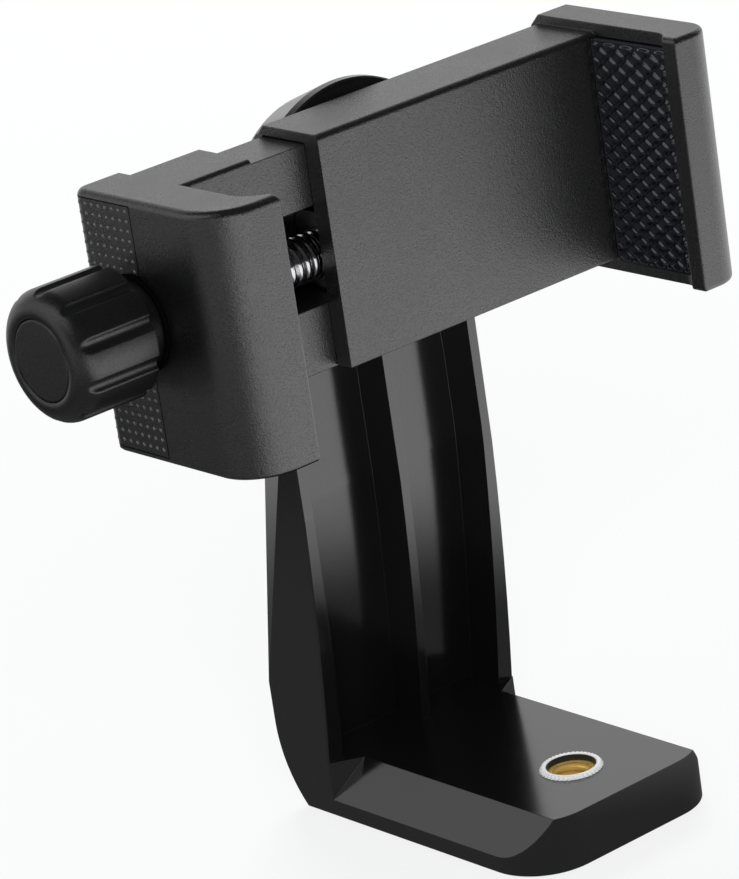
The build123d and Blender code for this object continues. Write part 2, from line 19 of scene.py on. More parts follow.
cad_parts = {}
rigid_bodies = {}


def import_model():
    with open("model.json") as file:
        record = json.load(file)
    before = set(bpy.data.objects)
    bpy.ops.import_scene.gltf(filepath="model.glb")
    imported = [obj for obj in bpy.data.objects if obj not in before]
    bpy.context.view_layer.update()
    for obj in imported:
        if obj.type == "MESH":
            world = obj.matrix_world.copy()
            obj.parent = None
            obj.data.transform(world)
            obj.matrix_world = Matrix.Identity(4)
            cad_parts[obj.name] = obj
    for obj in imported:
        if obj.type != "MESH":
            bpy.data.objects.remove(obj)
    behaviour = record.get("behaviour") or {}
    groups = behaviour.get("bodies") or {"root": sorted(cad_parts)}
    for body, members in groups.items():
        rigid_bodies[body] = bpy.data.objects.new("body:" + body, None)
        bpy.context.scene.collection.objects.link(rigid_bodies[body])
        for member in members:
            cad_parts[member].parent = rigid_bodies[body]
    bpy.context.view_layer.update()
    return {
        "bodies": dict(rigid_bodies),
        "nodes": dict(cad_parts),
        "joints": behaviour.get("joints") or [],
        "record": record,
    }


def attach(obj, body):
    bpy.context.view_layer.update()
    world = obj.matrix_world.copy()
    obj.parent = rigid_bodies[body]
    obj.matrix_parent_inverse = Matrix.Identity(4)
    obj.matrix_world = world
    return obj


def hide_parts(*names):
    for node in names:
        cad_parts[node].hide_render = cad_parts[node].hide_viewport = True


LOG = logging.getLogger("adapter")
MM = 0.001
WELD = 2e-7  # points of a new piece that lie nearer than this, in metres, become one
SLIVER = 1e-7  # and edges shorter than this are taken out

Triple = tuple[float, float, float]
Pair = tuple[float, float]
Tree = bpy.types.NodeTree
Node = bpy.types.Node
Socket = bpy.types.NodeSocket
Material = bpy.types.Material
Source = Socket | float | tuple[float, ...]


class Body(Enum):
    """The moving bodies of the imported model."""

    BASE = "base"
    CLAMP = "clamp"
    JAW = "jaw"
    KNOB = "knob"


# Surfaces


@dataclass
class Surface:
    """Points and faces of a surface, before it becomes a mesh.

    Args:
        points: one row of X, Y and Z for each point.
        faces: point numbers, four to a face.
    """

    points: np.ndarray
    faces: np.ndarray

    def joined(self, other: "Surface") -> "Surface":
        """Both surfaces as one, the other's faces moved past this one's points."""
        faces = np.vstack([self.faces, other.faces + len(self.points)])
        return Surface(np.vstack([self.points, other.points]), faces)

    def moved(self, offset: Triple) -> "Surface":
        """The same surface, every point moved by an offset."""
        return Surface(self.points + np.array(offset), self.faces)


def grid_faces(rows: int, columns: int, wrap: bool = False) -> np.ndarray:
    """Four-sided faces that join a grid of points.

    Args:
        rows: how many rows of points there are.
        columns: how many points each row has.
        wrap: whether the last column joins the first.

    Returns:
        One row of four point numbers for each face: (i, j), (i, j+1), (i+1, j+1), (i+1, j).
    """
    last = columns if wrap else columns - 1
    row, column = np.meshgrid(np.arange(rows - 1), np.arange(last), indexing="ij")
    beside = (column + 1) % columns
    here = row * columns
    above = (row + 1) * columns
    faces = np.stack([here + column, here + beside, above + beside, above + column], -1)
    return faces.reshape(-1, 4)


def steps_round(columns: int) -> np.ndarray:
    """Even turns round an axis, from zero to the last before a full turn."""
    return np.arange(columns) * 2 * math.pi / columns


def round_axis(
    along: np.ndarray, radius: np.ndarray, turn: np.ndarray, axis: str
) -> np.ndarray:
    """Points at a place along an axis, at a distance from it and at a turn round it.

    Round X a point is (place, r cos t, r sin t), and round Z it is (r cos t, r sin t, place).

    Args:
        along: place along the axis, one row for each ring and one column for each turn.
        radius: distance from the axis, in the same layout.
        turn: the angle of each column.
        axis: X or Z.

    Returns:
        One row of X, Y and Z for each point, ring by ring.
    """
    one, two = radius * np.cos(turn), radius * np.sin(turn)
    parts = [along, one, two] if axis == "X" else [one, two, along]
    return np.stack(parts, -1).reshape(-1, 3)


def turned_surface(along: np.ndarray, radius: np.ndarray, axis: str = "X") -> Surface:
    """A surface round the X or the Z axis whose radius may change with the turn.

    The point at row i and turn t is at along[i, t] on the axis and at radius[i, t] from it.
    A first and a last row of no radius close the ends.

    Args:
        along: place along the axis, one row for each ring and one column for each turn.
        radius: distance from the axis, in the same layout.
        axis: the axis that the surface goes round.

    Returns:
        The surface, closed round the axis.
    """
    rows, columns = radius.shape
    points = round_axis(along, radius, steps_round(columns), axis)
    return Surface(points, grid_faces(rows, columns, wrap=True))


def repeated(profile: np.ndarray, columns: int) -> tuple[np.ndarray, np.ndarray]:
    """A profile's places and its radii, each repeated for every step round the axis."""
    return np.repeat(profile[:, :1], columns, axis=1), np.repeat(profile[:, 1:], columns, axis=1)


def ripple(count: int, columns: int, depth: float) -> np.ndarray:
    """Waves round an axis: the depth times (1 - cos(count * turn)) / 2 at each step."""
    return depth * (1 - np.cos(steps_round(columns) * count)) / 2


def profile_surface(profile: np.ndarray, columns: int, axis: str = "X") -> Surface:
    """A plain turned surface from one profile.

    Args:
        profile: one row of place along the axis and radius for each point, in metres.
        columns: how many steps go round.
        axis: the axis that it is turned about.

    Returns:
        The surface, whose every column repeats the profile.
    """
    return turned_surface(*repeated(profile, columns), axis)


def thread_surface(
    start: float, end: float, pitch: float, depths: Pair, axis: str = "X", columns: int = 64
) -> Surface:
    """A right-handed screw thread whose mesh lines follow the helix.

    Each pitch has six lines: the narrow root's two sides, a shoulder, the crest's two sides
    and a shoulder again. The line at step s and turn t lies at start + pitch * (s + t / one
    turn) along the axis, held between the start and the end, and its radius is the root's
    plus its level times the depth.

    Args:
        start: where the thread begins on its axis.
        end: where it ends.
        pitch: how far one turn advances.
        depths: the radius of the root and of the crest.
        axis: the axis that it goes round.
        columns: how many steps go round.

    Returns:
        The thread's surface, cut off flat at both ends.
    """
    lines = np.array([0.0, 0.08, 0.24, 0.4, 0.68, 0.84])
    levels = np.array([0.0, 0.0, 0.78, 1.0, 1.0, 0.78])
    count = int(math.ceil((end - start) / pitch)) + 2
    steps = (np.arange(count)[:, None] - 1 + lines[None, :]).ravel()
    radius = depths[0] + (depths[1] - depths[0]) * np.tile(levels, count)
    turn = np.arange(columns + 1) / columns
    along = np.clip(start + pitch * (steps[:, None] + turn[None, :]), start, end)
    spread = np.repeat(radius[:, None], columns + 1, axis=1)
    points = round_axis(along, spread, 2 * math.pi * turn, axis)
    return Surface(points, grid_faces(len(steps), columns + 1))


def make_piece(
    name: str,
    surface: Surface,
    body: Body,
    finish: Material,
    sharp: float = 35.0,
) -> bpy.types.Object:
    """Put a surface into a mesh, weld and close it, turn it outwards and let it ride.

    Args:
        name: the piece's name.
        surface: its points and faces.
        body: the body that it moves with.
        finish: its material.
        sharp: edges that turn by more degrees than this stay crisp.

    Returns:
        The new object, at the origin.
    """
    mesh = bpy.data.meshes.new(name)
    mesh.from_pydata(surface.points.tolist(), [], surface.faces.tolist())
    work = bmesh.new()
    work.from_mesh(mesh)
    bmesh.ops.remove_doubles(work, verts=work.verts, dist=WELD)
    bmesh.ops.dissolve_degenerate(work, dist=SLIVER, edges=work.edges)
    open_edges = [edge for edge in work.edges if edge.is_boundary]
    if open_edges:
        bmesh.ops.holes_fill(work, edges=open_edges, sides=0)
    bmesh.ops.recalc_face_normals(work, faces=work.faces)
    work.to_mesh(mesh)
    work.free()
    mesh.polygons.foreach_set("use_smooth", np.ones(len(mesh.polygons), dtype=bool))
    mesh.set_sharp_from_angle(angle=math.radians(sharp))
    mesh.materials.append(finish)
    piece = bpy.data.objects.new(name, mesh)
    bpy.context.scene.collection.objects.link(piece)
    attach(piece, body.value)
    LOG.info("made %s with %d faces", name, len(mesh.polygons))
    return piece


# Shader groups


def new_group(name: str, inputs: dict[str, float], outputs: dict[str, str]) -> Tree:
    """An empty shader node group with named number inputs and typed outputs.

    Args:
        name: the group's name.
        inputs: each input's name and its value at first.
        outputs: each output's name and its kind of socket.

    Returns:
        The group, with its input and output nodes placed.
    """
    tree = bpy.data.node_groups.new(name, "ShaderNodeTree")
    for label, value in inputs.items():
        socket = tree.interface.new_socket(label, in_out="INPUT", socket_type="NodeSocketFloat")
        socket.default_value = value
    for label, kind in outputs.items():
        tree.interface.new_socket(label, in_out="OUTPUT", socket_type=kind)
    tree.nodes.new("NodeGroupInput")
    tree.nodes.new("NodeGroupOutput")
    return tree


def add(tree: Tree, kind: str, **settings: object) -> Node:
    """Add a node and set its plain properties.

    Args:
        tree: the node tree that it is added to.
        kind: the node's type.
        settings: its properties by name.

    Returns:
        The new node.
    """
    node = tree.nodes.new(kind)
    for label, value in settings.items():
        setattr(node, label, value)
    return node


def feed(tree: Tree, socket: Socket, source: Source) -> None:
    """Feed a socket from another node's socket, or set it to a plain value.

    Args:
        tree: the node tree that holds them.
        socket: the input that is fed.
        source: another node's output, or a number, vector or colour.
    """
    if isinstance(source, Socket):
        tree.links.new(source, socket)
    else:
        socket.default_value = source


def compute(tree: Tree, operation: str, *terms: Source, clamp: bool = False) -> Socket:
    """A sum, product or other plain step on numbers and sockets.

    Args:
        tree: the node tree that it is added to.
        operation: the name of the step, as the math node has it.
        terms: its numbers or sockets in order.
        clamp: whether the result is held between 0 and 1.

    Returns:
        The result's socket.
    """
    node = add(tree, "ShaderNodeMath", operation=operation, use_clamp=clamp)
    for socket, term in zip(node.inputs, terms):
        feed(tree, socket, term)
    return node.outputs[0]


def toward(tree: Tree, place: Socket, way: Triple, low: float, high: float) -> Socket:
    """How far a place lies along a way, from 0 at one distance to 1 at another, eased.

    Args:
        tree: the node tree that it is added to.
        place: the socket that gives the place or the direction.
        way: the way's direction.
        low: the distance along it that gives 0.
        high: the distance along it that gives 1.

    Returns:
        The result's socket.
    """
    along = add(tree, "ShaderNodeVectorMath", operation="DOT_PRODUCT")
    feed(tree, along.inputs[0], place)
    along.inputs[1].default_value = way
    span = add(tree, "ShaderNodeMapRange", interpolation_type="SMOOTHSTEP")
    feed(tree, span.inputs["Value"], along.outputs["Value"])
    span.inputs["From Min"].default_value = low
    span.inputs["From Max"].default_value = high
    return span.outputs["Result"]


def ends_of(tree: Tree) -> tuple[Node, Node]:
    """The input node and the output node of a group."""
    return tree.nodes["Group Input"], tree.nodes["Group Output"]


def moulded_grain_group() -> Tree:
    """The fine pebbled grain of moulded plastic, as a height and two masks.

    The height is one noise at the grain's size plus half of one twice as fine. The fleck is
    the first noise alone and the mottle a wide one, both between 0 and 1.

    Returns:
        The node group, with outputs Height, Fleck and Mottle.
    """
    number = "NodeSocketFloat"
    tree = new_group(
        "moulded_grain",
        {"Grain": 4200.0, "Spread": 160.0},
        {"Height": number, "Fleck": number, "Mottle": number},
    )
    start, end = ends_of(tree)
    place = add(tree, "ShaderNodeTexCoord").outputs["Object"]
    grain = start.outputs["Grain"]
    sizes = (grain, compute(tree, "MULTIPLY", grain, 2.0), start.outputs["Spread"])
    noises = []
    for size in sizes:
        noise = add(tree, "ShaderNodeTexNoise")
        feed(tree, noise.inputs["Vector"], place)
        feed(tree, noise.inputs["Scale"], size)
        noise.inputs["Detail"].default_value = 1.0
        noises.append(noise.outputs["Fac"])
    feed(tree, end.inputs["Height"], compute(tree, "MULTIPLY_ADD", noises[1], 0.5, noises[0]))
    feed(tree, end.inputs["Fleck"], noises[0])
    feed(tree, end.inputs["Mottle"], noises[2])
    return tree


def soft_edge_group() -> Tree:
    """The rounding of a part's edges, and a mask for scuffing and a painted highlight on them.

    The normal is the surface's, rounded over a radius. The mask is one minus the cosine
    between that normal and the true one, times a gain, held between 0 and 1.

    Returns:
        The node group, with outputs Normal and Wear.
    """
    tree = new_group(
        "soft_edge",
        {"Radius": 0.0003, "Gain": 5.0},
        {"Normal": "NodeSocketVector", "Wear": "NodeSocketFloat"},
    )
    start, end = ends_of(tree)
    bevel = add(tree, "ShaderNodeBevel", samples=6)
    shape = add(tree, "ShaderNodeNewGeometry")
    cosine = add(tree, "ShaderNodeVectorMath", operation="DOT_PRODUCT")
    feed(tree, bevel.inputs["Radius"], start.outputs["Radius"])
    feed(tree, cosine.inputs[0], bevel.outputs["Normal"])
    feed(tree, cosine.inputs[1], shape.outputs["Normal"])
    turn = compute(tree, "SUBTRACT", 1.0, cosine.outputs["Value"])
    # the edge mask: scuffing on the rounded edges and a painted highlight there
    wear_and_highlight = compute(tree, "MULTIPLY", turn, start.outputs["Gain"], clamp=True)
    feed(tree, end.inputs["Normal"], bevel.outputs["Normal"])
    feed(tree, end.inputs["Wear"], wear_and_highlight)
    return tree


# Finishes


@dataclass(frozen=True)
class Finish:
    """A finish with grain, mottle, soft edges, and scuffed edges with a painted highlight.

    Args:
        name: the material's name.
        colour: its linear colour.
        worn_and_highlight: the linear colour of its edges, scuffed and with a painted highlight.
        roughness: its mean roughness.
        spread: how far the mottle moves the roughness.
        mottle: how far the mottle darkens the colour, from 0 to 1.
        fleck: how far the grain itself moves the roughness.
        metallic: 1 for metal and 0 otherwise.
        grain: grains in a metre.
        height: the grain's height in metres.
        edge: radius of the soft edges in metres.
        specular: the shader's specular level.
        pits: how far the grain's pits lower that level.
        pit_range: the fleck at a pit's floor and at its brim.
        ior: the index of refraction.
    """

    name: str
    colour: Triple
    worn_and_highlight: Triple
    roughness: float
    spread: float = 0.06
    mottle: float = 0.15
    fleck: float = 0.0
    metallic: float = 0.0
    grain: float = 4200.0
    height: float = 0.00001
    edge: float = 0.00025
    specular: float = 0.5
    pits: float = 0.0
    pit_range: Pair = (0.38, 0.56)
    ior: float = 1.6

    def material(self) -> Material:
        """Build the finish as a node material.

        The base colour is the plain colour, darkened by the mottle and mixed with the edge colour
        by the edge mask, which gives the edges scuffing and a painted highlight. The roughness
        moves with the mottle and the grain's flecks, and the grain's height bends the soft edge's
        normal. In a pit, where the fleck is low, the specular level is less by the share that the
        pits have.

        Returns:
            The material.
        """
        material = bpy.data.materials.new(self.name)
        material.use_nodes = True
        tree = material.node_tree
        shader = tree.nodes["Principled BSDF"]
        grain = add(tree, "ShaderNodeGroup", node_tree=bpy.data.node_groups["moulded_grain"])
        grain.inputs["Grain"].default_value = self.grain
        edge = add(tree, "ShaderNodeGroup", node_tree=bpy.data.node_groups["soft_edge"])
        edge.inputs["Radius"].default_value = self.edge
        dark = tuple(channel * (1.0 - self.mottle) for channel in self.colour)
        tint = self.mixed(tree, grain.outputs["Mottle"], (*self.colour, 1.0), (*dark, 1.0))
        # the edges take a lighter colour: scuffing and a painted highlight
        rubbed_and_highlit = self.mixed(tree, edge.outputs["Wear"], tint, (*self.worn_and_highlight, 1.0))
        base = self.roughness - (self.spread + self.fleck) / 2
        rough = compute(tree, "MULTIPLY_ADD", grain.outputs["Mottle"], self.spread, base)
        rough = compute(tree, "MULTIPLY_ADD", grain.outputs["Fleck"], self.fleck, rough)
        bump = add(tree, "ShaderNodeBump")
        bump.inputs["Strength"].default_value = 1.0
        bump.inputs["Distance"].default_value = self.height
        feed(tree, bump.inputs["Height"], grain.outputs["Height"])
        feed(tree, bump.inputs["Normal"], edge.outputs["Normal"])
        feed(tree, shader.inputs["Base Color"], rubbed_and_highlit)
        feed(tree, shader.inputs["Roughness"], rough)
        feed(tree, shader.inputs["Normal"], bump.outputs["Normal"])
        shader.inputs["Metallic"].default_value = self.metallic
        pit = add(tree, "ShaderNodeMapRange")
        pit.inputs["From Min"].default_value, pit.inputs["From Max"].default_value = self.pit_range
        pit.inputs["To Min"].default_value = self.specular * (1.0 - self.pits)
        pit.inputs["To Max"].default_value = self.specular
        feed(tree, pit.inputs["Value"], grain.outputs["Fleck"])
        feed(tree, shader.inputs["Specular IOR Level"], pit.outputs["Result"])
        shader.inputs["IOR"].default_value = self.ior
        return material

    @staticmethod
    def mixed(tree: Tree, share: Source, one: Source, other: Source) -> Socket:
        """A colour between two others.

        Args:
            tree: the node tree that it is added to.
            share: 0 gives the one colour and 1 the other.
            one: the first colour.
            other: the second colour.

        Returns:
            The mixed colour's socket.
        """
        mix = add(tree, "ShaderNodeMix", data_type="RGBA", blend_type="MIX")
        feed(tree, mix.inputs["Factor"], share)
        feed(tree, mix.inputs["A"], one)
        feed(tree, mix.inputs["B"], other)
        return mix.outputs["Result"]


class Finishes:
    """All the finishes of the adapter, each built once."""

    def __init__(self) -> None:
        """Build the shared groups and then each material."""
        moulded_grain_group()
        soft_edge_group()
        black = (0.0055, 0.0055, 0.0058)
        # lighter colour of the edges: scuffing and a painted highlight
        rubbed_and_highlit = (0.012, 0.012, 0.0125)
        shade = (0.002, 0.002, 0.002)
        self.plastic = Finish(
            "black_plastic", black, rubbed_and_highlit, 0.29, fleck=0.08, grain=4600.0,
            height=0.000038, specular=1.0, pits=0.2, ior=1.7,
        ).material()
        self.smooth_plastic = Finish(
            "smooth_plastic", black, rubbed_and_highlit, 0.15, spread=0.03, fleck=0.03,
            height=0.000002, edge=0.0001, specular=1.0, pits=0.06,
        ).material()
        self.knob_plastic = Finish(
            "knob_plastic", black, rubbed_and_highlit, 0.33, fleck=0.08, grain=4800.0,
            height=0.00002, specular=0.9, pits=0.25,
        ).material()
        # the domes' colour is lighter than the black plastic: a painted highlight on the stipple
        self.dot_plastic = Finish(
            "dot_plastic", (0.1, 0.1, 0.102), (0.12, 0.12, 0.122), 0.25,
            height=0.000002, edge=0.00004, specular=1.0,
        ).material()
        # near-black dull finish of painted shade: the panel's border groove and the thrust washer
        # behind the knob
        self.groove = Finish("groove_shade", shade, shade, 0.8, specular=0.05).material()
        self.pad = Finish(
            "pad_rubber", (0.0035, 0.0042, 0.0095), (0.009, 0.01, 0.02), 0.2,
            height=0.000003, specular=0.9, edge=0.0001,
        ).material()
        self.chrome = Finish(
            "screw_chrome", (0.8, 0.8, 0.82), (0.88, 0.88, 0.89), 0.12,
            metallic=1.0, height=0.000001, edge=0.00006,
        ).material()
        self.rim_steel = Finish(
            "rim_steel", (0.98, 0.98, 0.96), (0.99, 0.99, 0.97), 0.4, mottle=0.03,
            metallic=0.05, height=0.000002, edge=0.00006,
        ).material()
        # dark colour that paints the shade inside the counterbore
        self.bore_steel = Finish(
            "bore_steel", (0.05, 0.05, 0.045), (0.1, 0.1, 0.09), 0.35,
            metallic=0.6, height=0.000004, edge=0.00006,
        ).material()
        self.brass = Finish(
            "thread_brass", (0.95, 0.66, 0.18), (1.0, 0.85, 0.4), 0.25,
            metallic=0.35, height=0.000002, edge=0.00006,
        ).material()
        self.steel = Finish(
            "zinc_steel", (0.55, 0.55, 0.57), (0.7, 0.7, 0.71), 0.34,
            metallic=1.0, height=0.000002, edge=0.0001,
        ).material()
        self.washer = Finish(
            "disc_plastic", (0.03, 0.03, 0.03), (0.06, 0.06, 0.06), 0.4
        ).material()


# Sub-assemblies


@dataclass
class SubAssembly:
    """Pieces of the adapter that are dressed together.

    Args:
        frame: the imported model's frame.
        finishes: the adapter's finishes.
    """

    frame: dict
    finishes: Finishes

    def paint(self, finish: Material, *nodes: str) -> None:
        """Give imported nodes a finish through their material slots.

        Args:
            finish: the material.
            nodes: the names of the nodes that get it.
        """
        for node in nodes:
            for slot in self.frame["nodes"][node].material_slots:
                slot.material = finish
            LOG.info("painted %s with %s", node, finish.name)


@dataclass
class Bracket(SubAssembly):
    """The foot, upright and head, with the tripod bush: its shell, thread and counterbore."""

    body_radius: float = 4.0 * MM
    flange_radius: float = 5.4 * MM
    flange_height: float = 1.2 * MM
    foot_top: float = 7.42 * MM
    bush_top: float = 7.9 * MM
    rim_radius: float = 4.2 * MM
    rim_bore: float = 3.3 * MM
    rim_step: float = 0.05 * MM
    rim_chamfer: float = 0.3 * MM
    rim_bevel: float = 0.08 * MM
    knurl_depth: float = 0.2 * MM
    knurls: int = 42
    knurl_steps: int = 8
    sleeve_radius: float = 3.36 * MM
    sleeve_start: float = 0.2 * MM
    sleeve_top: float = 6.95 * MM
    sleeve_steps: int = 72
    thread_root: float = 3.2 * MM
    thread_crest: float = 2.6 * MM
    pitch: float = 1.27 * MM
    bore_clear: float = 0.01 * MM
    bore_radius: float = 3.2 * MM
    bore_end: float = 7.0 * MM
    bore_top: float = 7.8 * MM
    rib_depth: float = 0.04 * MM
    ribs: int = 36
    rib_steps: int = 6

    def dress(self) -> None:
        """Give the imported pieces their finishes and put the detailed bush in."""
        looks, body, slot = self.finishes, Body.BASE, "tripod_insert"
        self.paint(looks.smooth_plastic, "bracket")
        self.paint(looks.washer, "friction_disc")
        rim = make_piece("bush_rim", self.rim(), body, looks.rim_steel, sharp=50.0)
        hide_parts("tripod_insert")
        sleeve = make_piece("bush_thread", self.sleeve(), body, looks.brass, sharp=25.0)
        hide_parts("tripod_insert")
        # the counterbore takes the dark finish of painted shade
        wall = make_piece("bush_bore", self.bore(), body, looks.bore_steel, sharp=25.0)
        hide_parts("tripod_insert")

    def rim(self) -> Surface:
        """The bush's plated shell, whose rim stands on the foot with a knurled edge.

        It is a closed profile turned about Z. Where a point is on the rim's outside, its
        radius is less by the knurls' ripple.

        Returns:
            The shell's surface.
        """
        outside, inside = self.rim_radius, self.rim_bore
        eased = inside + self.rim_bevel
        profile = np.array(
            [
                (0.0, eased),
                (0.0, self.flange_radius),
                (self.flange_height, self.flange_radius),
                (self.flange_height, self.body_radius),
                (self.foot_top, self.body_radius),
                (self.foot_top, outside),
                (self.foot_top + self.rim_step, outside),
                (self.bush_top, outside - self.rim_chamfer),
                (self.bush_top, eased),
                (self.bush_top - self.rim_bevel, inside),
                (self.rim_bevel, inside),
                (0.0, eased),
            ]
        )
        columns = self.knurls * self.knurl_steps
        along, radius = repeated(profile, columns)
        radius[5:8] -= ripple(self.knurls, columns, self.knurl_depth)  # the rim's outside
        return turned_surface(along, radius, "Z")

    def sleeve(self) -> Surface:
        """The threaded sleeve inside the shell, below the counterbore.

        Its wall is the screw thread's surface, from the root to the crest nearer the axis,
        and a plain outside that meets it at both ends.

        Returns:
            The sleeve's surface.
        """
        start, end = self.sleeve_start, self.sleeve_top
        depths = (self.thread_root, self.thread_crest)
        thread = thread_surface(start, end, self.pitch, depths, "Z", self.sleeve_steps)
        profile = np.array(
            [
                (start, self.thread_root),
                (start, self.sleeve_radius),
                (end, self.sleeve_radius),
                (end, self.thread_root),
            ]
        )
        return thread.joined(profile_surface(profile, self.sleeve_steps, "Z"))

    def bore(self) -> Surface:
        """The counterbore above the thread, a thin tube with fine upright ribs, dark with painted
        shade.

        It is a closed profile turned about Z, and the ribs' ripple stands on its inside.

        Returns:
            The tube's surface.
        """
        outside, inside = self.rim_bore - self.bore_clear, self.bore_radius
        profile = np.array(
            [
                (self.bore_end, outside),
                (self.bore_end, inside),
                (self.bore_top, inside),
                (self.bore_top, outside),
                (self.bore_end, outside),
            ]
        )
        columns = self.ribs * self.rib_steps
        along, radius = repeated(profile, columns)
        radius[1:3] -= ripple(self.ribs, columns, self.rib_depth)  # the tube's inside
        return turned_surface(along, radius, "Z")


@dataclass
class BumpyPad:
    """A rubber pad whose face is a field of low diamond bumps.

    Args:
        face: X of the bumps' tops.
        back: X of the pad's back.
        low: Y and Z of its lowest corner.
        high: Y and Z of its highest corner.
        border: width of the plain border.
        fade: how far inside the border a bump reaches its full height.
        edge: radius of the eased rim.
        depth: how deep the valleys between the bumps are.
        slope: the share of a bump, from its side, over which it rises.
        step: half of a bump's diagonal along Y and along Z.
        first: Y and Z of the middle of one bump.
        power: how crisp a bump's corners are.
        sample: distance between the points of the mesh.
    """

    face: float
    back: float
    low: Pair
    high: Pair
    border: float = 0.35 * MM
    fade: float = 0.15 * MM
    edge: float = 0.25 * MM
    depth: float = 0.34 * MM
    slope: float = 0.21
    step: Pair = (1.6 * MM, 1.14 * MM)
    first: Pair = (0.75 * MM, 91.45 * MM)
    power: int = 5
    sample: float = 0.13 * MM

    def places(self, low: float, high: float) -> np.ndarray:
        """Places across the pad: the wall's foot, the eased rim, even steps and back again.

        Args:
            low: where the pad begins.
            high: where it ends.

        Returns:
            The places in rising order, with each end twice for the wall and the rim.
        """
        rim = self.edge * (1 - np.cos(np.radians([0.0, 30.0, 60.0])))
        count = int((high - low - 2 * self.edge) / self.sample)
        inner = np.linspace(low + self.edge, high - self.edge, count)
        return np.concatenate([[low], low + rim, inner, high - rim[::-1], [high]])

    def surface(self) -> Surface:
        """The pad's front and sides.

        A point's depth below the bumps' tops is the larger of two: the eased rim's, which is
        its radius times one minus the sine that belongs to the distance from the rim, and
        the valley's, which is the depth times one minus the bump. The bump is a diamond with
        a flat top and sloped sides: the larger of the distances of (y / a + z / b) / 2 and
        (y / a - z / b) / 2 from a whole number, where a and b are the half diagonals, tells
        how near a side is, and the bump falls from one to zero over the slope's share. To
        ease the corners, the fifth root of the fifth powers' sum stands for the larger.

        Returns:
            The surface, open at the back.
        """
        across = self.places(self.low[0], self.high[0])
        upward = self.places(self.low[1], self.high[1])
        y, z = np.meshgrid(across, upward, indexing="ij")
        away_y = np.minimum(y - self.low[0], self.high[0] - y)
        away_z = np.minimum(z - self.low[1], self.high[1] - z)
        near = np.minimum(away_y, away_z)
        held = np.clip(near / self.edge, 0.0, 1.0)
        rim = self.edge * (1 - np.sqrt(1 - (1 - held) ** 2))
        one = (y - self.first[0]) / self.step[0]
        other = (z - self.first[1]) / self.step[1]
        sides = [(one + other) / 2, (one - other) / 2]
        powers = [np.abs(side - np.round(side)) ** self.power for side in sides]
        reached = (powers[0] + powers[1]) ** (1 / self.power)
        bump = np.clip((0.5 - reached) / self.slope, 0.0, 1.0)
        inside = np.clip((near - self.border) / self.fade, 0.0, 1.0)
        deep = np.maximum(rim, self.depth * (1 - bump * inside))
        sign = 1.0 if self.back > self.face else -1.0
        x = self.face + sign * deep
        x[[0, -1], :] = self.back
        x[:, [0, -1]] = self.back
        points = np.stack([x, y, z], -1).reshape(-1, 3)
        return Surface(points, grid_faces(len(across), len(upward)))


@dataclass
class Clamp(SubAssembly):
    """The housing bar, the fixed jaw with its pad and the pivot behind it."""

    pad_face: float = 31.0 * MM
    pad_back: float = 33.3 * MM
    pad_low: Pair = (-0.21 * MM, 64.31 * MM)
    pad_high: Pair = (13.74 * MM, 94.49 * MM)

    def dress(self) -> None:
        """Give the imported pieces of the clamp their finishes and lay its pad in."""
        looks, slot = self.finishes, "fixed_jaw_pad"
        self.paint(looks.plastic, "clamp_body")
        self.paint(looks.steel, "clamp_nut", "pivot_screw", "pivot_washer", "pivot_spring_washer")
        pad = BumpyPad(self.pad_face, self.pad_back, self.pad_low, self.pad_high).surface()
        piece = make_piece("fixed_pad_bumps", pad, Body.CLAMP, looks.pad, sharp=60.0)
        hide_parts("fixed_jaw_pad")


